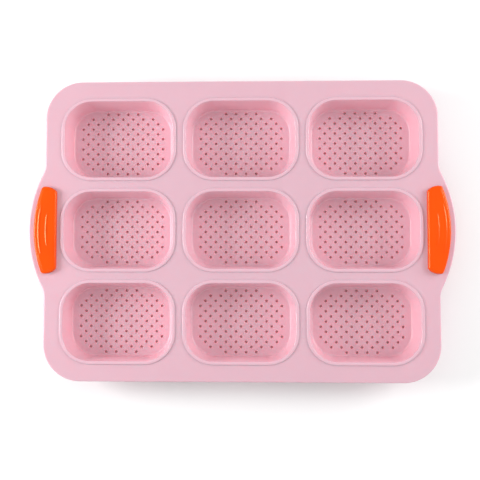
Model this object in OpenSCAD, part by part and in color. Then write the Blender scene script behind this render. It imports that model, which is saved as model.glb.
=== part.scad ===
// Perforated silicone loaf tray: a pink moulding with a grid of rounded cups,
// a wire-stiffened rim and two orange grips let into its end ears.
// Right is +X, the back edge is +Y, up is +Z, and the tray stands on Z = 0.

/* [Tray] */
// Half length of the deck between its straight ends
deck_half_x = 160; // [140:1:180]
// Half width of the deck
deck_half_y = 122.25; // [110:0.25:130]
// Radius of the deck's four corners
deck_corner_r = 30; // [20:1:40]
// Height of the deck's top face
deck_top = 28; // [22:1:36]
// Thickness of the deck
deck_t = 2.2; // [1.6:0.1:3]

/* [Ears] */
// Radius of each ear's outer arc
ear_r = 101.16; // [101.16]
// Distance from the middle of the tray to the ear arc's centre
ear_centre_x = 71.84; // [71.84]
// Radius of the hollow curve that runs into each ear
flare_r = 20; // [20]
// Distance from the middle to the hollow curve's centre, along X
flare_centre_x = 180; // [180]
// Distance from the middle to the hollow curve's centre, along Y
flare_centre_y = 54.6; // [54.6]

/* [Rim] */
// Width of the thickened rim
rim_w = 5.2; // [4.8:0.1:7]
// Height of the thickened rim
rim_h = 6.6; // [6:0.1:9]
// Radius of the rim's upper outer edge
rim_top_r = 2.4; // [1:0.1:2.6]
// Radius of the rim's two lower edges
rim_low_r = 1.4; // [0.6:0.1:1.6]
// Diameter of the stiffening wire
wire_d = 2.6; // [2:0.1:3]
// Clearance around the wire in its channel
wire_gap = 0.05; // [0.02:0.01:0.1]

/* [Cups] */
// Distance between cup centres along X
pitch_x = 100; // [100]
// Distance between cup centres along Y
pitch_y = 74.5; // [74.5]
// Half length of a cup's mouth
mouth_half_x = 44.3; // [40:0.1:46]
// Half width of a cup's mouth
mouth_half_y = 31.3; // [28:0.1:33]
// Radius of the mouth's corners
mouth_r = 22.5; // [18:0.5:25]
// Thickness of walls and floor
wall_t = 2.2; // [1.2:0.1:2.4]
// How far the wall leans in over its full height
wall_lean = 2.6; // [1:0.1:4]
// Radius between the wall and the floor, on the inside
floor_fillet = 2; // [1:0.1:2.2]
// Width of the bead around the mouth
bead_w = 2.8; // [2:0.1:3.4]
// Height of the bead above the deck
bead_h = 1; // [0.5:0.1:2]
// Radius of the bead's top edges
bead_edge_r = 0.8; // [0.3:0.1:0.9]

/* [Perforations] */
// Diameter of each hole
hole_d = 2.1; // [1.5:0.1:2.6]
// Half the distance between holes in one row, and the step between rows
hole_step = 4.245; // [4.245]

/* [Grips] */
// Distance from the middle of the tray to a grip's straight inner side
grip_inner_x = 150; // [149:0.5:152]
// Width of the ear left showing outside a grip
grip_border = 4.5; // [4:0.1:6]
// Radius of a grip's two end curves
grip_end_r = 12; // [12]
// Distance from the middle to the centre of a grip's end curve, along X
grip_end_x = 159; // [159]
// Distance from the middle to the centre of a grip's end curve, along Y
grip_end_y = 23.5; // [23.5]
// Height of a grip above the deck
grip_rise = 4.4; // [3:0.1:6]
// Depth of a grip's pad below the deck
grip_drop = 2.4; // [1.5:0.1:4]
// How much smaller the pad below the deck is than the grip, which keeps it inside the rim
pad_inset = 0.9; // [0.8:0.1:2]
// Radius of a grip's upper edges
grip_edge_r = 2; // [1:0.1:2.5]
// How much smaller the window in the ear is than the grip
window_inset = 2.4; // [1:0.1:3]
// Distance of the outer and the inner raised line from the ear arc's centre
line_r = [92.2, 86.1]; // [80:0.1:94]
// Half angle of the outer and the inner raised line, in degrees
line_angle = [12.4, 8.6]; // [4:0.1:16]
// Width of the raised lines
line_w = 2.2; // [1.5:0.1:3]
// Height of the raised lines
line_h = 0.5; // [0.3:0.1:1]

/* [Hidden] */
$fn = 72;
// Lower face of the deck
deck_low = deck_top - deck_t;
// Radius of a grip's outer side
grip_r = ear_r - grip_border;
// How far the mouth's outline reaches past its bead
bead_half_x = mouth_half_x + bead_w;
bead_half_y = mouth_half_y + bead_w;
// Inside depth of a cup, and the lean of its wall in degrees
cup_depth = deck_top - wall_t;
lean = atan(wall_lean / cup_depth);
// Length of the straight part of the wall, from the mouth to the fillet
wall_run = (cup_depth - floor_fillet * (1 - sin(lean))) / cos(lean);
// The fillet's circles cross the wall's faces by this much instead of touching them
blend = 0.004;
// How far the floor's flat part lies inside the mouth's outline
floor_in = wall_run * sin(lean) + (floor_fillet - blend) * cos(lean);
// Direction in which the fillet ends, between the two places where its circles
// cross the wall's faces
fillet_end = (acos(1 - blend / floor_fillet) + acos(1 - blend / (floor_fillet + wall_t))) / 2
             - lean;
// Where the wire lies in the rim's section: distance in from the outline, and height
wire_in = rim_w / 2;
wire_z = deck_top - rim_h / 2 - 0.1;
// Lets cutters pass through a face
cut = 1;

// ---- flat outlines ----

// A rectangle of the given half sizes with rounded corners
module rounded_plate(hx, hy, r) {
    square([2 * hx, 2 * (hy - r)], center = true);
    square([2 * (hx - r), 2 * hy], center = true);
    for (x = [-1, 1], y = [-1, 1])
        translate([x * (hx - r), y * (hy - r)])
            circle(r);
}

// The wedge that the right ear's arc fills
module ear_wedge() {
    polygon([
        [ear_centre_x, 0],
        [flare_centre_x, -flare_centre_y],
        [flare_centre_x + flare_r, -flare_centre_y],
        [flare_centre_x + flare_r, flare_centre_y],
        [flare_centre_x, flare_centre_y]
    ]);
}

// The triangle that the right ear's back hollow curve fills
module flare_wedge() {
    polygon([
        [flare_centre_x - 2 * flare_r, flare_centre_y],
        [ear_centre_x, 0],
        [flare_centre_x, flare_centre_y]
    ]);
}

// The right ear's outline, moved inwards by inset
module ear_outline(inset) {
    intersection() {
        translate([ear_centre_x, 0])
            circle(ear_r - inset);
        ear_wedge();
    }
    for (side = [0, 1])
        mirror([0, side])
            difference() {
                flare_wedge();
                translate([flare_centre_x, flare_centre_y])
                    circle(flare_r + inset);
            }
}

// The tray's outline, moved inwards by inset
module tray_outline(inset) {
    rounded_plate(deck_half_x - inset, deck_half_y - inset, deck_corner_r - inset);
    for (side = [0, 1])
        mirror([side, 0])
            ear_outline(inset);
}

// A grip's outline at the right ear, moved inwards by inset
module grip_outline(inset) {
    intersection() {
        translate([ear_centre_x, 0])
            circle(grip_r - inset);
        translate([grip_inner_x + inset, -deck_half_y])
            square([deck_half_y, 2 * deck_half_y]);
        union() {
            square_at(grip_end_x, 2 * (grip_end_r - inset), 2 * grip_end_y);
            for (side = [-1, 1])
                translate([grip_end_x, side * grip_end_y])
                    circle(grip_end_r - inset);
        }
    }
}

// A rectangle centred on the X axis at x
module square_at(x, w, h) {
    translate([x - w / 2, -h / 2])
        square([w, h]);
}

// ---- sections, drawn as distance in from an outline (x) and height (y) ----

// The thickened rim, with a round upper edge outside and two round lower edges
module rim_section() {
    low = deck_top - rim_h;
    translate([0, low + rim_low_r])
        square([rim_w, rim_h - rim_low_r - rim_top_r]);
    translate([rim_low_r, low])
        square([rim_w - 2 * rim_low_r, rim_low_r]);
    for (x = [rim_low_r, rim_w - rim_low_r])
        translate([x, low + rim_low_r])
            circle(rim_low_r);
    translate([rim_top_r, deck_top - rim_top_r])
        square([rim_w - rim_top_r, rim_top_r]);
    translate([rim_top_r, deck_top - rim_top_r])
        circle(rim_top_r);
}

// A round section at the wire's place in the rim
module wire_section(d) {
    translate([wire_in, wire_z])
        circle(d = d);
}

// A cup's wall and bead, as distance out from the mouth's outline and height
module cup_section() {
    low = wall_run * cos(lean);
    // the leaning wall, and the collar that the deck meets
    polygon([
        [-wall_run * sin(lean), deck_top - low],
        [0, deck_top],
        [bead_w, deck_top],
        [bead_w, deck_low],
        [wall_t / cos(lean) - deck_t * tan(lean), deck_low],
        [wall_t * cos(lean) - wall_run * sin(lean), deck_top - low - wall_t * sin(lean)]
    ]);
    // the curve that turns the wall into the floor
    reach = 2 * (floor_fillet + wall_t);
    intersection() {
        translate([-floor_in, wall_t + floor_fillet])
            difference() {
                circle(floor_fillet + wall_t);
                circle(floor_fillet);
            }
        polygon([
            [-floor_in, wall_t + floor_fillet],
            [-floor_in, -cut],
            [reach - floor_in, -cut],
            [reach * cos(fillet_end) - floor_in,
             wall_t + floor_fillet + reach * sin(fillet_end)]
        ]);
    }
    // the bead around the mouth
    translate([0, deck_top])
        square([bead_w, bead_h - bead_edge_r]);
    translate([bead_edge_r, deck_top])
        square([bead_w - 2 * bead_edge_r, bead_h]);
    for (x = [bead_edge_r, bead_w - bead_edge_r])
        translate([x, deck_top + bead_h - bead_edge_r])
            circle(bead_edge_r);
}

// ---- sweeps ----

// Turns a section that is drawn as distance in from an arc of radius r
module turn_in(r, angle = 360) {
    rotate_extrude(angle = angle)
        translate([r, 0])
            mirror([1, 0])
                children();
}

// Runs a section of distance-in and height along a straight edge: it starts at
// the origin and goes along +X, with the outline on the line and inside at +Y
module run_in(length) {
    rotate([90, 0, 90])
        linear_extrude(length)
            children();
}

// Sweeps a section around the tray's whole outline
module around_tray() {
    cx = deck_half_x - deck_corner_r;
    cy = deck_half_y - deck_corner_r;
    for (mx = [0, 1], my = [0, 1])
        mirror([mx, 0, 0])
            mirror([0, my, 0]) {
                translate([cx, cy, 0])
                    turn_in(deck_corner_r, 90)
                        children();
                translate([deck_half_x, flare_centre_y, 0])
                    rotate([0, 0, 90])
                        run_in(cy - flare_centre_y)
                            children();
                intersection() {
                    translate([flare_centre_x, flare_centre_y, 0])
                        rotate_extrude()
                            translate([flare_r, 0])
                                children();
                    linear_extrude(deck_top + cut)
                        flare_wedge();
                }
            }
    for (mx = [0, 1])
        mirror([mx, 0, 0])
            intersection() {
                translate([ear_centre_x, 0, 0])
                    turn_in(ear_r)
                        children();
                linear_extrude(deck_top + cut)
                    ear_wedge();
            }
    for (my = [0, 1])
        mirror([0, my, 0])
            translate([-cx, -deck_half_y, 0])
                run_in(2 * cx)
                    children();
}

// Sweeps a section of distance-out and height around a cup's mouth
module around_mouth() {
    cx = mouth_half_x - mouth_r;
    cy = mouth_half_y - mouth_r;
    for (quarter = [[cx, cy, 0], [-cx, cy, 90], [-cx, -cy, 180], [cx, -cy, 270]])
        translate([quarter[0], quarter[1], 0])
            rotate([0, 0, quarter[2]])
                rotate_extrude(angle = 90)
                    translate([mouth_r, 0])
                        children();
    for (side = [0, 180])
        rotate([0, 0, side]) {
            translate([-cx, mouth_half_y, 0])
                rotate([90, 0, 90])
                    linear_extrude(2 * cx)
                        children();
            translate([mouth_half_x, cy, 0])
                rotate([90, 0, 0])
                    linear_extrude(2 * cy)
                        children();
        }
}

// ---- subparts ----

// The flat deck with its thickened rim, the cup openings and the grip windows
module tray_deck() {
    color([0.90, 0.70, 0.76])
        difference() {
            union() {
                translate([0, 0, deck_low])
                    linear_extrude(deck_t)
                        tray_outline(rim_w / 2);
                around_tray()
                    rim_section();
            }
            for (i = [-1:1], j = [-1:1])
                translate([i * pitch_x, j * pitch_y, deck_low - cut])
                    linear_extrude(deck_t + 2 * cut)
                        rounded_plate(bead_half_x, bead_half_y, mouth_r + bead_w);
            for (side = [0, 1])
                mirror([side, 0, 0])
                    translate([0, 0, deck_low - cut])
                        linear_extrude(deck_t + 2 * cut)
                            grip_outline(window_inset);
            around_tray()
                wire_section(wire_d + 2 * wire_gap);
        }
}

// The closed wire frame that stiffens the rim
module rim_wire() {
    color([0.62, 0.63, 0.65])
        around_tray()
            wire_section(wire_d);
}

// One cup's leaning wall, with the bead around its mouth
module cup_wall(i, j) {
    color([0.91, 0.66, 0.72])
        translate([i * pitch_x, j * pitch_y, 0])
            around_mouth()
                cup_section();
}

// One cup's flat floor, with staggered holes in an area with rounded corners
module cup_base(i, j) {
    // the hole pattern's area, in half steps
    area = [8.4, 6.1];
    area_r = 5;
    color([0.88, 0.62, 0.68])
        translate([i * pitch_x, j * pitch_y, 0])
            difference() {
                linear_extrude(wall_t)
                    rounded_plate(mouth_half_x - floor_in, mouth_half_y - floor_in,
                                  mouth_r - floor_in);
                for (u = [-8:8], v = [-6:6])
                    if (abs(u + v) % 2 == 1 && in_area(u, v, area, area_r))
                        translate([u * hole_step, v * hole_step, -cut])
                            cylinder(d = hole_d, h = wall_t + 2 * cut);
            }
}

// Is the point inside a rectangle of half sizes area with corners of radius r?
function in_area(u, v, area, r) =
    abs(u) <= area[0] && abs(v) <= area[1]
    && norm([max(0, abs(u) - area[0] + r), max(0, abs(v) - area[1] + r)]) <= r;

// One grip at the right ear: a pad above the deck, a plug through the ear's
// window, a pad below it, and two raised lines on top
module grip() {
    top = deck_top + grip_rise;
    color([1.0, 0.36, 0.04]) {
        translate([0, 0, deck_low])
            linear_extrude(deck_t)
                grip_outline(window_inset);
        translate([0, 0, deck_low - grip_drop])
            linear_extrude(grip_drop)
                grip_outline(pad_inset);
        translate([0, 0, deck_top])
            grip_pad(grip_rise);
        for (k = [0, 1])
            translate([ear_centre_x, 0, top])
                raised_line(line_r[k], line_angle[k]);
    }
}

// The pad above the deck: each side is rounded over at the top, and the sides
// are cut against each other
module grip_pad(h) {
    intersection() {
        translate([ear_centre_x, 0, 0])
            rotate_extrude()
                eased_edge(grip_r, h);
        translate([grip_inner_x, deck_half_y, 0])
            rotate([90, 0, 0])
                linear_extrude(2 * deck_half_y)
                    translate([deck_half_y, 0])
                        mirror([1, 0])
                            eased_edge(deck_half_y, h);
        union() {
            for (side = [-1, 1])
                translate([grip_end_x, side * grip_end_y, 0])
                    rotate_extrude()
                        eased_edge(grip_end_r, h);
            translate([grip_end_x - 2 * grip_end_r, -grip_end_y, 0])
                cube([4 * grip_end_r, 2 * grip_end_y, h]);
        }
    }
}

// A half section w wide and h high whose outer top edge is rounded
module eased_edge(w, h) {
    square([w - grip_edge_r, h]);
    square([w, h - grip_edge_r]);
    translate([w - grip_edge_r, h - grip_edge_r])
        circle(grip_edge_r);
}

// A raised line: a low round bar bent around the ear arc's centre, with round ends
module raised_line(r, half_angle) {
    // radius of the circle whose cap is line_w wide and line_h high
    cap_r = (line_w * line_w / 4 + line_h * line_h) / (2 * line_h);
    rotate([0, 0, -half_angle])
        rotate_extrude(angle = 2 * half_angle)
            translate([r, 0])
                line_cap(cap_r);
    for (side = [-1, 1])
        rotate([0, 0, side * half_angle])
            translate([r, 0, 0])
                rotate_extrude()
                    intersection() {
                        line_cap(cap_r);
                        translate([0, -line_w])
                            square([line_w, 2 * line_w]);
                    }
}

// The raised line's section: a circle's cap on a short root that is inside the pad
module line_cap(cap_r) {
    root = 0.4;
    intersection() {
        translate([0, line_h - cap_r])
            circle(cap_r);
        translate([-line_w / 2, 0])
            square([line_w, line_w]);
    }
    translate([-line_w / 2, -root])
        square([line_w, root]);
}

module cup_wall_back_left() cup_wall(-1, 1);
module cup_wall_back_centre() cup_wall(0, 1);
module cup_wall_back_right() cup_wall(1, 1);
module cup_wall_middle_left() cup_wall(-1, 0);
module cup_wall_middle_centre() cup_wall(0, 0);
module cup_wall_middle_right() cup_wall(1, 0);
module cup_wall_front_left() cup_wall(-1, -1);
module cup_wall_front_centre() cup_wall(0, -1);
module cup_wall_front_right() cup_wall(1, -1);

module cup_base_back_left() cup_base(-1, 1);
module cup_base_back_centre() cup_base(0, 1);
module cup_base_back_right() cup_base(1, 1);
module cup_base_middle_left() cup_base(-1, 0);
module cup_base_middle_centre() cup_base(0, 0);
module cup_base_middle_right() cup_base(1, 0);
module cup_base_front_left() cup_base(-1, -1);
module cup_base_front_centre() cup_base(0, -1);
module cup_base_front_right() cup_base(1, -1);

module grip_right() grip();
module grip_left() mirror([1, 0, 0]) grip();

tray_deck();
rim_wire();
cup_wall_back_left();
cup_wall_back_centre();
cup_wall_back_right();
cup_wall_middle_left();
cup_wall_middle_centre();
cup_wall_middle_right();
cup_wall_front_left();
cup_wall_front_centre();
cup_wall_front_right();
cup_base_back_left();
cup_base_back_centre();
cup_base_back_right();
cup_base_middle_left();
cup_base_middle_centre();
cup_base_middle_right();
cup_base_front_left();
cup_base_front_centre();
cup_base_front_right();
grip_left();
grip_right();
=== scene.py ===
"""Perforated silicone loaf tray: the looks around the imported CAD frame.

Metres, +X right, +Y to the back edge, +Z up, standing on Z = 0. The tray is one moulding, shown
as a deck and nine cups; each grip is one moulding let into an ear of the deck. The meshes are
built in millimetres and turned into metres when they are finished.
"""

import math

import bmesh
import bpy
from mathutils import Matrix, Vector
from mathutils.geometry import delaunay_2d_cdt


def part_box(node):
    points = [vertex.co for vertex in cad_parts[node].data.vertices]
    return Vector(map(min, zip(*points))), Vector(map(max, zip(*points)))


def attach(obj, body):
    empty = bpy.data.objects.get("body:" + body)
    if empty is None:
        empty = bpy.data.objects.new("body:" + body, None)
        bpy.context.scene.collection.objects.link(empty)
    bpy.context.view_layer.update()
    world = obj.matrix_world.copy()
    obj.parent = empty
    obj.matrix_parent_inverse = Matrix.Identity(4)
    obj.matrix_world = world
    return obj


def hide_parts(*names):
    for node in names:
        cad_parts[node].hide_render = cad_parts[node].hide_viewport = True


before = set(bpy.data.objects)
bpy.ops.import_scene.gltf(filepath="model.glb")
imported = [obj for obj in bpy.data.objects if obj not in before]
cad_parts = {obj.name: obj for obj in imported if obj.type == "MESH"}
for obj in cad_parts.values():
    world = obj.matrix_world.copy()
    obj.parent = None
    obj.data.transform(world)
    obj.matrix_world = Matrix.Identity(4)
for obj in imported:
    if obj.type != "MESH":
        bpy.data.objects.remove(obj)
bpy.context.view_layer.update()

MM = 0.001
ROWS = ["back", "middle", "front"]
COLUMNS = ["left", "centre", "right"]

# ---- dimensions in millimetres, the same as in the CAD ----

# the deck and its ears; each ear is an arc, and a hollow curve, the flare, runs into it
DECK_HALF = (160.0, 122.25)
DECK_CORNER_R = 30.0
DECK_TOP = 28.0
DECK_LOW = 25.8
EAR_CENTRE_X = 71.84
EAR_R = 101.16
FLARE_CENTRE = (180.0, 54.6)
FLARE_R = 20.0
EAR_ANGLE = math.atan2(FLARE_CENTRE[1], FLARE_CENTRE[0] - EAR_CENTRE_X)

# the rim
RIM_W = 5.2
RIM_LOW = 21.4
RIM_LOW_R = 1.4

# the cups
MOUTH_HALF = (44.3, 31.3)
MOUTH_R = 22.5
WALL_T = 2.2
WALL_LEAN = 2.6
WALL_SLOPE = WALL_LEAN / (DECK_TOP - WALL_T)
FLOOR_FILLET = 2.0
BEAD_W = 2.8
BEAD_TOP = 29.0
BEAD_EDGE_R = 0.8

# the holes, at every second point of a square lattice; the area is in steps of the lattice
HOLE_R = 1.05
HOLE_STEP = 4.245
HOLE_AREA = (8.4, 6.1)
HOLE_AREA_R = 5.0

# the grips
GRIP_INNER_X = 150.0
GRIP_R = EAR_R - 4.5
GRIP_END = (159.0, 23.5)
GRIP_END_R = 12.0
GRIP_TOP = 32.4
GRIP_LOW = 23.4
GRIP_EDGE_R = 2.0
PAD_INSET = 0.9
WINDOW_INSET = 2.4
LINE_HALF_W = 1.1
LINE_H = 0.5

# ---- dimensions in millimetres that only these meshes have ----

# edges and corners that are rounder, or sharper, than the CAD's
RIM_TOP_R = 1.0
RIM_INNER_R = 0.6
BEAD_FOOT_R = 0.3
WALL_ROOT_R = 0.5
GRIP_CORNER_R = 2.6
PAD_EDGE_R = 1.0

# a hole narrows downwards by the draft of the mould's pin
HOLE_LOW_R = 0.7
HOLE_EDGE_R = 0.18

# a grip's crown, and each raised line's distance from the ear's centre and the half angle, in
# degrees, at which it has tapered away; the taper starts at a part of that angle
CROWN_H = 0.35
CROWN_HALF_W = 9.2
LINES = [(92.2, 12.9), (86.1, 9.0)]
TAPER_START = 0.55
LINE_END_WIDTH = 0.45

# flat seats that sections end in, so that they meet their plates in one plane
SEAT = 0.05
RIM_SEAT = 0.3
GRIP_SEAT = 0.15
PAD_SEAT = 0.2

# edges that turn by more than this stay sharp
SHARP_ANGLE = math.radians(38)

# outline points nearer than this are one point, and so are mesh points nearer than MERGED
TOUCHING = 1e-6
MERGED = 1e-4

# distances between points along straight sides
MOUTH_SPACING = 3.0
TRAY_SPACING = 8.0
GRIP_SPACING = 1.2

# the lattice of points on a grip's top: their distance apart, how far they stay from the seat's
# edge, and a rectangle that holds the whole grip
TOP_SPACING = 0.42
TOP_MARGIN = 0.3
TOP_X_RANGE = (148, 170)
TOP_Y_RANGE = (-37, 37)


# ---- outlines: lists of (x, y, nx, ny), with the normal pointing out of the shape ----

def arc(cx, cy, r, start, end, steps, hollow=False):
    """Points along an arc, angles in degrees. A hollow arc has its material outside the circle."""
    side = -1 if hollow else 1
    points = []
    for k in range(steps + 1):
        a = math.radians(start + (end - start) * k / steps)
        c, s = math.cos(a), math.sin(a)
        points.append((cx + r * c, cy + r * s, side * c, side * s))
    return points


def join_arcs(arcs, spacing):
    """A closed outline: the arcs in order, joined by straights with points at most spacing apart."""
    path = []
    for k, points in enumerate(arcs):
        path.extend(points)
        x0, y0, nx, ny = points[-1]
        x1, y1 = arcs[(k + 1) % len(arcs)][0][:2]
        length = math.hypot(x1 - x0, y1 - y0)
        if length < TOUCHING:
            path.pop()
            continue
        steps = max(1, math.ceil(length / spacing))
        for j in range(1, steps):
            f = j / steps
            path.append((x0 + (x1 - x0) * f, y0 + (y1 - y0) * f, nx, ny))
    return path


def mouth_outline():
    """The outline of a cup's mouth about the cup's centre."""
    cx, cy = MOUTH_HALF[0] - MOUTH_R, MOUTH_HALF[1] - MOUTH_R
    corners = [(cx, cy, 0), (-cx, cy, 90), (-cx, -cy, 180), (cx, -cy, 270)]
    return join_arcs([arc(x, y, MOUTH_R, a, a + 90, 22) for x, y, a in corners], MOUTH_SPACING)


def tray_outline():
    """The outline of the deck with its two ears, anticlockwise from the right ear."""
    ear = math.degrees(EAR_ANGLE)
    fx, fy = FLARE_CENTRE
    cx, cy = DECK_HALF[0] - DECK_CORNER_R, DECK_HALF[1] - DECK_CORNER_R
    return join_arcs([
        arc(EAR_CENTRE_X, 0, EAR_R, -ear, ear, 40),
        arc(fx, fy, FLARE_R, 180 + ear, 180, 12, hollow=True),
        arc(cx, cy, DECK_CORNER_R, 0, 90, 28),
        arc(-cx, cy, DECK_CORNER_R, 90, 180, 28),
        arc(-fx, fy, FLARE_R, 0, -ear, 12, hollow=True),
        arc(-EAR_CENTRE_X, 0, EAR_R, 180 - ear, 180 + ear, 40),
        arc(-fx, -fy, FLARE_R, ear, 0, 12, hollow=True),
        arc(-cx, -cy, DECK_CORNER_R, 180, 270, 28),
        arc(cx, -cy, DECK_CORNER_R, 270, 360, 28),
        arc(fx, -fy, FLARE_R, 180, 180 - ear, 12, hollow=True),
    ], TRAY_SPACING)


def touching_circle(c0, r0, c1, r1):
    """The centre at distance r0 from c0 and r1 from c1, on the side with the larger y."""
    dx, dy = c1[0] - c0[0], c1[1] - c0[1]
    d = math.hypot(dx, dy)
    a = (r0 * r0 - r1 * r1 + d * d) / (2 * d)
    h = math.sqrt(r0 * r0 - a * a)
    mid = (c0[0] + a * dx / d, c0[1] + a * dy / d)
    both = [(mid[0] - s * h * dy / d, mid[1] + s * h * dx / d) for s in (-1, 1)]
    return max(both, key=lambda p: p[1])


def grip_outline():
    """A grip's outline at the right ear, its four corners rounded, anticlockwise."""
    r = GRIP_CORNER_R
    ex, ey = GRIP_END
    outer = touching_circle((EAR_CENTRE_X, 0), GRIP_R - r, GRIP_END, GRIP_END_R - r)
    inner_x = GRIP_INNER_X + r
    inner = (inner_x, ey + math.sqrt((GRIP_END_R - r) ** 2 - (inner_x - ex) ** 2))
    side = math.degrees(math.atan2(outer[1], outer[0] - EAR_CENTRE_X))
    end_0 = math.degrees(math.atan2(outer[1] - ey, outer[0] - ex))
    end_1 = math.degrees(math.atan2(inner[1] - ey, inner[0] - ex))
    return join_arcs([
        arc(EAR_CENTRE_X, 0, GRIP_R, -side, side, 60),
        arc(*outer, r, side, end_0, 8),
        arc(ex, ey, GRIP_END_R, end_0, end_1, 10),
        arc(*inner, r, end_1, 180, 8),
        arc(inner[0], -inner[1], r, 180, 360 - end_1, 8),
        arc(ex, -ey, GRIP_END_R, 360 - end_1, 360 - end_0, 10),
        arc(outer[0], -outer[1], r, -end_0, -side, 8),
    ], GRIP_SPACING)


def offset(path, out):
    """The outline moved out by a distance, as (x, y) points."""
    return [(x + nx * out, y + ny * out) for x, y, nx, ny in path]


# ---- sections: lists of (distance out from an outline, height) ----

def rounded(corners, steps=7):
    """A line through the corners, each given as (out, height, radius), rounded by its radius."""
    line = []
    for k, (x, z, r) in enumerate(corners):
        if r <= 0 or k in (0, len(corners) - 1):
            line.append((x, z))
            continue
        here = Vector((x, z))
        before = (Vector(corners[k - 1][:2]) - here).normalized()
        after = (Vector(corners[k + 1][:2]) - here).normalized()
        half = before.angle(after) / 2
        centre = here + (before + after).normalized() * (r / math.sin(half))
        start = here + before * (r / math.tan(half)) - centre
        end = here + after * (r / math.tan(half)) - centre
        turn = start.angle_signed(end)
        for j in range(steps + 1):
            a = -turn * j / steps
            c, s = math.cos(a), math.sin(a)
            out = centre.x + start.x * c - start.y * s
            height = centre.y + start.x * s + start.y * c
            line.append((out, height))
    return line


# ---- mesh building ----

class Builder:
    """Collects rings and flat plates in millimetres and turns them into one closed mesh."""

    def __init__(self):
        self.bm = bmesh.new()

    def ring_vertices(self, points, z):
        return [self.bm.verts.new((x, y, z)) for x, y in points]

    def band(self, low, high, skin=0):
        """Joins two rings of the same count; skin is the number of the faces' material."""
        n = len(low)
        for i in range(n):
            j = (i + 1) % n
            face = self.bm.faces.new((low[i], low[j], high[j], high[i]))
            face.material_index = skin

    def sweep(self, path, section, skin=0):
        """Runs the section around the outline; returns its first and last rings' vertices."""
        rings = [self.ring_vertices(offset(path, out), z) for out, z in section]
        for low, high in zip(rings, rings[1:]):
            self.band(low, high, skin)
        return rings[0], rings[-1]

    def plate(self, outline, holes, inner=(), height=None):
        """Fills the space between an outline ring and hole rings, all of vertices that exist.
        inner holds extra (x, y) points, whose heights come from height(x, y)."""
        rings = [outline, *holes]
        verts = [v for ring in rings for v in ring]
        flat = [(v.co.x, v.co.y) for v in verts]
        edges, start = [], 0
        for ring in rings:
            n = len(ring)
            edges += [(start + i, start + (i + 1) % n) for i in range(n)]
            start += n
        for x, y in inner:
            verts.append(self.bm.verts.new((x, y, height(x, y))))
            flat.append((x, y))
        result = delaunay_2d_cdt([Vector(p) for p in flat], edges, [], 0, 1e-7)
        made, faces, sources = result[0], result[2], result[3]
        loops = [[(v.co.x, v.co.y) for v in ring] for ring in rings]
        keep = inside_test(loops)
        for face in faces:
            cx = sum(made[i].x for i in face) / 3
            cy = sum(made[i].y for i in face) / 3
            if keep(cx, cy):
                self.bm.faces.new([verts[sources[i][0]] for i in face])

    def finish(self, name, shift=(0, 0), mirror=False):
        """Turns the mesh into an object in metres, moved by shift millimetres."""
        bmesh.ops.remove_doubles(self.bm, verts=self.bm.verts, dist=MERGED)
        bmesh.ops.recalc_face_normals(self.bm, faces=self.bm.faces)
        for v in self.bm.verts:
            x = -v.co.x if mirror else v.co.x
            v.co = Vector((x + shift[0], v.co.y + shift[1], v.co.z)) * MM
        if mirror:
            bmesh.ops.reverse_faces(self.bm, faces=self.bm.faces)
        mesh = bpy.data.meshes.new(name)
        self.bm.to_mesh(mesh)
        self.bm.free()
        mesh.shade_smooth()
        mesh.set_sharp_from_angle(angle=SHARP_ANGLE)
        obj = bpy.data.objects.new(name, mesh)
        bpy.context.collection.objects.link(obj)
        return obj


def inside_test(loops):
    """A test for points inside the first loop and outside the others. The loops' edges are
    sorted into strips of equal height, so that each point is tested against a few only."""
    strip = 1.0
    table = {}
    for loop in loops:
        for (x0, y0), (x1, y1) in zip(loop, loop[1:] + loop[:1]):
            if y0 == y1:
                continue
            first = math.floor(min(y0, y1) / strip)
            last = math.floor(max(y0, y1) / strip)
            for k in range(first, last + 1):
                table.setdefault(k, []).append((x0, y0, x1, y1))

    def test(x, y):
        odd = False
        for x0, y0, x1, y1 in table.get(math.floor(y / strip), ()):
            if (y0 > y) != (y1 > y) and x < (x1 - x0) * (y - y0) / (y1 - y0) + x0:
                odd = not odd
        return odd

    return test


# ---- the cups ----

# places in a cup's list of materials: the cup itself, painted lighter as painted light; its holes'
# walls, painted darker and redder as painted shade; and its bead, painted a little lighter as a
# painted highlight
CUP_SKIN, HOLE_SHADE_SKIN, BEAD_SKIN = 0, 1, 2


def cup_centre(row, column):
    """A cup's centre in plan, in millimetres, from the CAD's floor."""
    low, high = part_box(f"cup_base_{row}_{column}")
    return (low[0] + high[0]) / 2 / MM, (low[1] + high[1]) / 2 / MM


def in_hole_area(u, v):
    """Is this lattice point inside the perforated area, a rectangle with rounded corners?"""
    if abs(u) > HOLE_AREA[0] or abs(v) > HOLE_AREA[1]:
        return False
    du = max(0, abs(u) - HOLE_AREA[0] + HOLE_AREA_R)
    dv = max(0, abs(v) - HOLE_AREA[1] + HOLE_AREA_R)
    return math.hypot(du, dv) <= HOLE_AREA_R


def hole_centres():
    """The staggered holes, as (x, y) about the cup's centre."""
    u_most, v_most = math.floor(HOLE_AREA[0]), math.floor(HOLE_AREA[1])
    return [
        (u * HOLE_STEP, v * HOLE_STEP)
        for v in range(-v_most, v_most + 1)
        for u in range(-u_most, u_most + 1)
        if (u + v) % 2 and in_hole_area(u, v)
    ]


def hole_outline(x, y):
    """A hole's circle, in 18 equal steps."""
    steps = 18
    return arc(x, y, HOLE_R, 0, 360 * (steps - 1) / steps, steps - 1)


def hole_section():
    """A hole's wall from the floor's underside to its top: it widens upwards by the mould pin's
    draft, and has eased edges and a flat seat at each end."""
    flat = HOLE_EDGE_R + SEAT
    draft = HOLE_R - HOLE_LOW_R
    return rounded([
        (flat - draft, 0, 0),
        (-draft, 0, HOLE_EDGE_R),
        (0, WALL_T, HOLE_EDGE_R),
        (flat, WALL_T, 0),
    ], steps=3)


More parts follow.
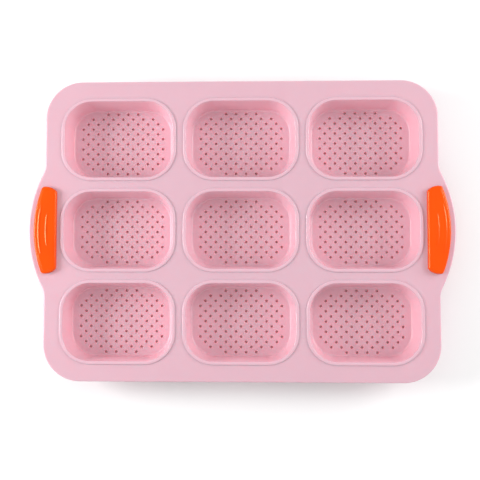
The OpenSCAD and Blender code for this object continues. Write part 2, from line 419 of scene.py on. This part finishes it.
def cup_section():
    """A cup from the inside of its floor, up over the bead and down to its underside."""
    lean = math.atan(WALL_SLOPE)
    fillet_end = -WALL_LEAN - FLOOR_FILLET * math.tan((math.pi / 2 - lean) / 2)
    floor_edge = fillet_end - SEAT
    outer_shift = WALL_T / math.cos(lean)
    low_outer = outer_shift - WALL_SLOPE * (DECK_TOP - DECK_LOW)
    foot_outer = outer_shift - WALL_SLOPE * DECK_TOP
    return rounded([
        (floor_edge, WALL_T, 0),
        (-WALL_LEAN, WALL_T, FLOOR_FILLET),
        (WALL_SLOPE * (BEAD_TOP - DECK_TOP), BEAD_TOP, BEAD_EDGE_R),
        (BEAD_W, BEAD_TOP, BEAD_EDGE_R),
        (BEAD_W, DECK_LOW, BEAD_FOOT_R),
        (low_outer, DECK_LOW, WALL_ROOT_R),
        (foot_outer, 0, FLOOR_FILLET + WALL_T),
        (floor_edge, 0, 0),
    ])


def make_cup(row, column):
    """One cup with its bead, leaning wall and perforated floor."""
    b = Builder()
    top_ring, low_ring = b.sweep(mouth_outline(), cup_section(), CUP_SKIN)
    tops, lows = [], []
    for x, y in hole_centres():
        under, over = b.sweep(hole_outline(x, y), hole_section(), HOLE_SHADE_SKIN)
        lows.append(under)
        tops.append(over)
    b.plate(top_ring, tops)
    b.plate(low_ring, lows)
    # the faces above the deck, the bead, get the bead's skin, which is painted a little lighter as a
    # painted highlight
    for face in b.bm.faces:
        if face.calc_center_median().z > DECK_TOP:
            face.material_index = BEAD_SKIN
    cup = b.finish(f"cup_{row}_{column}", shift=cup_centre(row, column))
    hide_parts(f"cup_wall_{row}_{column}", f"cup_base_{row}_{column}")
    return cup


# ---- the deck ----

def rim_section():
    """The thickened rim, from the deck's underside round to its top face."""
    return rounded([
        (-RIM_W - 2 * RIM_INNER_R, DECK_LOW, 0),
        (-RIM_W, DECK_LOW, RIM_INNER_R),
        (-RIM_W, RIM_LOW, RIM_LOW_R),
        (0, RIM_LOW, RIM_LOW_R),
        (0, DECK_TOP, RIM_TOP_R),
        (-RIM_TOP_R - RIM_SEAT, DECK_TOP, 0),
    ])


def deck_openings():
    """The outlines of the deck's nine openings for the cups and two windows for the grips."""
    openings = []
    mouth = offset(mouth_outline(), BEAD_W)
    for row in ROWS:
        for column in COLUMNS:
            cx, cy = cup_centre(row, column)
            openings.append([(x + cx, y + cy) for x, y in mouth])
    window = offset(grip_outline(), -WINDOW_INSET)
    openings.append(window)
    openings.append([(-x, y) for x, y in window])
    return openings


def make_deck():
    """The flat deck with its rim and its openings."""
    b = Builder()
    low_ring, top_ring = b.sweep(tray_outline(), rim_section())
    lows, tops = [], []
    for points in deck_openings():
        under = b.ring_vertices(points, DECK_LOW)
        over = b.ring_vertices(points, DECK_TOP)
        b.band(under, over)
        lows.append(under)
        tops.append(over)
    b.plate(top_ring, tops)
    b.plate(low_ring, lows)
    deck = b.finish("tray_deck_moulding")
    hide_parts("tray_deck")
    return deck


# ---- the grips ----

GRIP_OUTER_X = EAR_CENTRE_X + GRIP_R
SHOULDER = GRIP_TOP - CROWN_H


def line_height(x, y):
    """How far the raised lines stand up at a point of the grip's top."""
    r = math.hypot(x - EAR_CENTRE_X, y)
    angle = math.degrees(math.atan2(y, x - EAR_CENTRE_X))
    height = 0.0
    for line_r, half_angle in LINES:
        past = max(0.0, abs(angle) / half_angle - TAPER_START) / (1 - TAPER_START)
        taper = max(0.0, 1 - past * past)
        half_w = LINE_HALF_W * (LINE_END_WIDTH + (1 - LINE_END_WIDTH) * taper)
        across = abs(r - line_r) / half_w
        if across < 1:
            height += LINE_H * math.sqrt(taper) * (1 - across * across) ** 1.5
    return height


def grip_top(x, y):
    """Height of a grip's top face, with a slight crown and its raised lines."""
    across = (x - (GRIP_INNER_X + GRIP_OUTER_X) / 2) / CROWN_HALF_W
    crown = CROWN_H * max(0.0, 1 - across * across)
    return SHOULDER + crown + line_height(x, y)


def hex_points(inside, spacing, x_range, y_range):
    """Points of a triangular lattice that lie inside."""
    points = []
    rise = spacing * math.sqrt(3) / 2
    for j in range(math.ceil((y_range[1] - y_range[0]) / rise)):
        y = y_range[0] + j * rise
        for i in range(math.ceil((x_range[1] - x_range[0]) / spacing)):
            x = x_range[0] + (i + 0.5 * (j % 2)) * spacing
            if inside(x, y):
                points.append((x, y))
    return points


def grip_section():
    """A grip from its underside's edge, out under the deck, in through the window and up over
    the pad."""
    return rounded([
        (-PAD_INSET - PAD_EDGE_R - PAD_SEAT, GRIP_LOW, 0),
        (-PAD_INSET, GRIP_LOW, PAD_EDGE_R),
        (-PAD_INSET, DECK_LOW, 0),
        (-WINDOW_INSET, DECK_LOW, 0),
        (-WINDOW_INSET, DECK_TOP, 0),
        (0, DECK_TOP, 0),
        (0, SHOULDER, GRIP_EDGE_R),
        (-GRIP_EDGE_R - GRIP_SEAT, SHOULDER, 0),
    ])


def make_grip(side):
    """One grip; side is left or right."""
    b = Builder()
    path = grip_outline()
    low_ring, top_ring = b.sweep(path, grip_section())
    on_top = inside_test([offset(path, -GRIP_EDGE_R - GRIP_SEAT - TOP_MARGIN)])
    points = hex_points(on_top, TOP_SPACING, TOP_X_RANGE, TOP_Y_RANGE)
    b.plate(top_ring, [], points, grip_top)
    b.plate(low_ring, [])
    grip = b.finish(f"grip_{side}_moulding", mirror=side == "left")
    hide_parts(f"grip_{side}")
    return grip


# ---- materials ----

class Nodes:
    """A material's node tree with short calls for its nodes and links."""

    def __init__(self, name):
        self.material = bpy.data.materials.new(name)
        self.material.use_nodes = True
        self.tree = self.material.node_tree
        self.shader = self.tree.nodes["Principled BSDF"]
        self.place = self.add("ShaderNodeTexCoord").outputs["Object"]

    def add(self, kind, **values):
        node = self.tree.nodes.new(kind)
        for key, value in values.items():
            setattr(node, key, value)
        return node

    def link(self, a, b):
        self.tree.links.new(a, b)

    def noise(self, scale, detail=3.0, roughness=0.5):
        """A noise pattern in the tray's own coordinates; scale is in features per metre."""
        node = self.add("ShaderNodeTexNoise")
        node.inputs["Scale"].default_value = scale
        node.inputs["Detail"].default_value = detail
        node.inputs["Roughness"].default_value = roughness
        self.link(self.place, node.inputs["Vector"])
        return node.outputs["Fac"]

    def ramp(self, value, low, high):
        """Turns a value from 0 to 1 into one from low to high."""
        node = self.add("ShaderNodeMapRange")
        node.inputs["To Min"].default_value = low
        node.inputs["To Max"].default_value = high
        self.link(value, node.inputs["Value"])
        return node.outputs["Result"]

    def mix(self, value, first, second):
        """A colour between two, by value. The numbers are the mix node's colour sockets."""
        node = self.add("ShaderNodeMix", data_type="RGBA")
        node.inputs[6].default_value = (*first, 1)
        node.inputs[7].default_value = (*second, 1)
        self.link(value, node.inputs[0])
        return node.outputs[2]

    def bump(self, height, strength, distance, before=None):
        """Relief whose depth is distance, in metres, added to the relief before it."""
        node = self.add("ShaderNodeBump")
        node.inputs["Strength"].default_value = strength
        node.inputs["Distance"].default_value = distance
        self.link(height, node.inputs["Height"])
        if before:
            self.link(before, node.inputs["Normal"])
        return node.outputs["Normal"]

    def set(self, **values):
        """Sets sockets of the shader that are the same all over."""
        for key, value in values.items():
            self.shader.inputs[key.replace("_", " ")].default_value = value


# how far red, green and blue light travel inside, in metres
PINK_DEPTH = (0.004, 0.0014, 0.0016)
NO_DEPTH = (0.001, 0.001, 0.001)


def silicone(name, light, deep, roughness, scatter=0.0, depth=NO_DEPTH, shine=(1, 1, 1, 1)):
    """Moulded silicone: a faint clouding of the colour, a satin skin and a fine grain from the
    mould. scatter is the part of the light that goes inside; shine tints the highlights."""
    n = Nodes(name)
    cloud = n.noise(28, detail=4)
    n.link(n.mix(n.ramp(cloud, 0.0, 1.0), deep, light), n.shader.inputs["Base Color"])
    smear = n.noise(90, detail=5, roughness=0.6)
    n.link(n.ramp(smear, roughness - 0.02, roughness + 0.03), n.shader.inputs["Roughness"])
    grain = n.bump(n.noise(2600, detail=2), 0.06, 0.00004)
    n.link(n.bump(n.noise(160, detail=2), 0.006, 0.0002, grain), n.shader.inputs["Normal"])
    n.set(Subsurface_Weight=scatter, Subsurface_Radius=depth, Subsurface_Scale=1.0, IOR=1.41)
    n.set(Specular_IOR_Level=0.7, Specular_Tint=shine)
    return n.material


def deck_silicone():
    """The tray's pink on the broad flat deck."""
    return silicone("pink_silicone_deck", (0.715, 0.455, 0.53), (0.695, 0.435, 0.51),
                    roughness=0.30, scatter=0.4, depth=PINK_DEPTH)


def cup_silicone_painted_light():
    """The same pink painted a little lighter and warmer on the cups' walls and floors: painted
    light, standing in for the light bounced about inside the cups.
    """
    return silicone("pink_silicone_cups_painted_light", (0.835, 0.505, 0.58), (0.815, 0.485, 0.56),
                    roughness=0.30, scatter=0.4, depth=PINK_DEPTH)


def bead_silicone_painted_highlight():
    """The same pink, smoother and glossier along the beads, and painted a little lighter than the
    deck: a painted highlight.
    """
    return silicone("pink_silicone_beads_painted_highlight", (0.74, 0.475, 0.55), (0.72, 0.455, 0.53),
                    roughness=0.14, scatter=0.3, depth=PINK_DEPTH)


def hole_painted_shade_silicone():
    """A darker, redder pink painted on the walls of the small holes: painted shade, standing in for
    the shade and red bounced light deep in the holes.
    """
    return silicone("pink_silicone_holes_painted_shade", (0.88, 0.34, 0.40), (0.84, 0.32, 0.38),
                    roughness=0.45)


def grip_silicone():
    """Glossy orange, whose highlights keep some of its colour."""
    return silicone("orange_silicone", (0.95, 0.095, 0.0), (0.86, 0.06, 0.0),
                    roughness=0.17, shine=(1.0, 0.62, 0.3, 1))


def drawn_steel():
    """Drawn steel wire with fine streaks."""
    n = Nodes("drawn_steel")
    streak = n.noise(900, detail=4)
    n.link(n.mix(streak, (0.42, 0.43, 0.45), (0.66, 0.67, 0.69)), n.shader.inputs["Base Color"])
    n.link(n.ramp(streak, 0.28, 0.45), n.shader.inputs["Roughness"])
    n.link(n.bump(streak, 0.2, 0.00003), n.shader.inputs["Normal"])
    n.set(Metallic=1.0)
    return n.material


def white_table():
    """A plain white table."""
    n = Nodes("white_table")
    paper = n.noise(12, detail=3)
    n.link(n.mix(paper, (0.96, 0.96, 0.96), (0.97, 0.97, 0.97)), n.shader.inputs["Base Color"])
    n.set(Roughness=0.8)
    return n.material


def add_to_tray(piece, slot_name, *materials):
    """Makes a new piece ride on the tray and gives it its materials; slot_name is not used."""
    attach(piece, "root")
    for material in materials:
        piece.data.materials.append(material)


# ---- the tray ----

def build_tray():
    """All the pieces: nine cups, the deck, two grips and the CAD's wire in bare steel."""
    deck_pink = deck_silicone()
    cup_skins = [cup_silicone_painted_light(), hole_painted_shade_silicone(), bead_silicone_painted_highlight()]
    orange = grip_silicone()
    for row in ROWS:
        for column in COLUMNS:
            add_to_tray(make_cup(row, column), "pink_silicone", *cup_skins)
    add_to_tray(make_deck(), "pink_silicone", deck_pink)
    for side in ("left", "right"):
        add_to_tray(make_grip(side), "orange_silicone", orange)
    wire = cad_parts["rim_wire"]
    wire.data.materials.clear()
    wire.data.materials.append(drawn_steel())


# ---- floor, light and camera ----

# each softbox's name, place, width in metres and power in watts; all face the origin
SOFTBOXES = [
    ("left", (-0.94, 0.05, 0.48), 0.42, 8.4),
    ("right", (0.95, 0.30, 0.48), 0.5, 7),
    ("front", (0, -0.85, 0.90), 0.7, 0.6),
]
SKY_STRENGTH = 0.62

# the camera's place, the direction opposite to its line of sight, and the picture's upward one
CAMERA_PLACE = (0.0115, -0.0474, 0.759)
CAMERA_BACK = (0.0386, -0.0693, 1.0)
CAMERA_UP = (0.0008, 1.0, 0.0693)


def make_floor():
    """A plain pale floor, a hair below the cups so that no two faces lie in one plane."""
    bm = bmesh.new()
    half, drop = 4.0, 0.0001
    corners = [(-half, -half), (half, -half), (half, half), (-half, half)]
    bm.faces.new([bm.verts.new((x, y, -drop)) for x, y in corners])
    mesh = bpy.data.meshes.new("floor")
    bm.to_mesh(mesh)
    bm.free()
    floor = bpy.data.objects.new("floor", mesh)
    mesh.materials.append(white_table())
    bpy.context.collection.objects.link(floor)


def softbox(name, place, size, power):
    """A square area light that faces the origin."""
    data = bpy.data.lights.new(name, "AREA")
    data.size = size
    data.energy = power
    lamp = bpy.data.objects.new(name, data)
    lamp.location = place
    lamp.rotation_euler = (-Vector(place)).to_track_quat("-Z", "Y").to_euler()
    bpy.context.collection.objects.link(lamp)


def make_sky(strength):
    """An even white surround."""
    world = bpy.data.worlds.new("studio")
    world.use_nodes = True
    world.node_tree.nodes["Background"].inputs["Color"].default_value = (1, 1, 1, 1)
    world.node_tree.nodes["Background"].inputs["Strength"].default_value = strength
    bpy.context.scene.world = world


def make_camera():
    """Looks almost straight down from 0.76 m, a little from the front and the right."""
    data = bpy.data.cameras.new("camera")
    data.lens = 67.83
    data.sensor_width = 36
    data.shift_x = 0.0417
    data.shift_y = -0.0292
    data.clip_start = 0.01
    camera = bpy.data.objects.new("camera", data)
    camera.location = CAMERA_PLACE
    back = Vector(CAMERA_BACK).normalized()
    right = Vector(CAMERA_UP).cross(back).normalized()
    camera.rotation_euler = Matrix((right, back.cross(right), back)).transposed().to_euler()
    bpy.context.collection.objects.link(camera)
    bpy.context.scene.camera = camera


build_tray()
make_floor()
make_sky(SKY_STRENGTH)
for lamp_facts in SOFTBOXES:
    softbox(*lamp_facts)
make_camera()
bpy.context.scene.view_settings.view_transform = "Standard"
